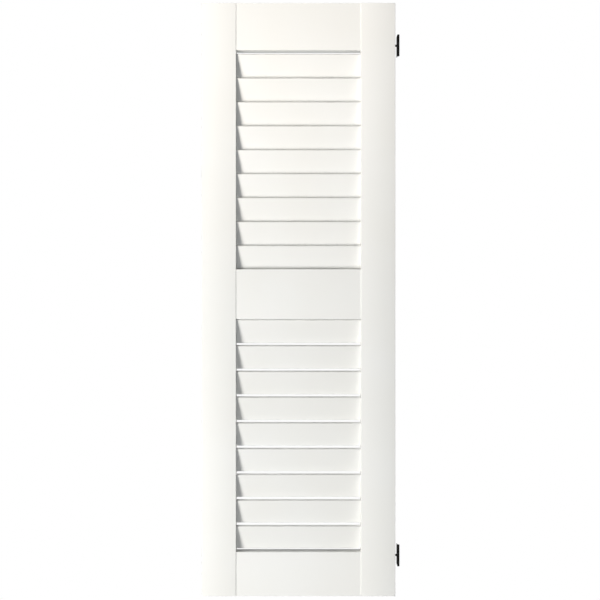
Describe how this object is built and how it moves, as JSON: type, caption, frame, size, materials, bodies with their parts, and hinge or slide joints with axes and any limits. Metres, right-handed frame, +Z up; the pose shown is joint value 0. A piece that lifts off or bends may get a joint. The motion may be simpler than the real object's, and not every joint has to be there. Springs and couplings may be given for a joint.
{
  "type": "louvred shutter",
  "caption": "Tall hinged window shutter leaf: stiles and rails holding two banks of fixed slats, with a pair of butt hinges for the jamb.",
  "frame": {"origin": "centre of the upper hinge's frame-side screw holes, on the plate face that lies against the jamb", "axes": "+X across the leaf towards the jamb, +Y from the face to the back, +Z up"},
  "size_m": [0.4667, 0.0439, 1.4],
  "materials": {
    "painted_wood": "satin white paint on wood",
    "dowel_wood": "bare beech",
    "black_hinge": "black powder coat on steel"
  },
  "bodies": {
    "jamb_side": {"upper_hinge_frame_plate": "black_hinge", "lower_hinge_frame_plate": "black_hinge", "upper_hinge_pin": "black_hinge", "lower_hinge_pin": "black_hinge"},
    "leaf": {"left_stile": "painted_wood", "right_stile": "painted_wood", "top_rail": "painted_wood", "mid_rail": "painted_wood", "bottom_rail": "painted_wood", "upper_slat_1": "painted_wood", "upper_slat_2": "painted_wood", "upper_slat_3": "painted_wood", "upper_slat_4": "painted_wood", "upper_slat_5": "painted_wood", "upper_slat_6": "painted_wood", "upper_slat_7": "painted_wood", "upper_slat_8": "painted_wood", "upper_slat_9": "painted_wood", "lower_slat_1": "painted_wood", "lower_slat_2": "painted_wood", "lower_slat_3": "painted_wood", "lower_slat_4": "painted_wood", "lower_slat_5": "painted_wood", "lower_slat_6": "painted_wood", "lower_slat_7": "painted_wood", "lower_slat_8": "painted_wood", "lower_slat_9": "painted_wood", "top_rail_dowels": "dowel_wood", "mid_rail_dowels": "dowel_wood", "bottom_rail_dowels": "dowel_wood", "upper_hinge_leaf_plate": "black_hinge", "lower_hinge_leaf_plate": "black_hinge", "upper_hinge_screws": "black_hinge", "lower_hinge_screws": "black_hinge"}
  },
  "joints": [
    {"name": "leaf_swing", "type": "hinge", "parent": "jamb_side", "child": "leaf", "pos_m": [0.0011, -0.014, 0], "axis": [0, 0, 1], "range_deg": [0, 180]}
  ]
}
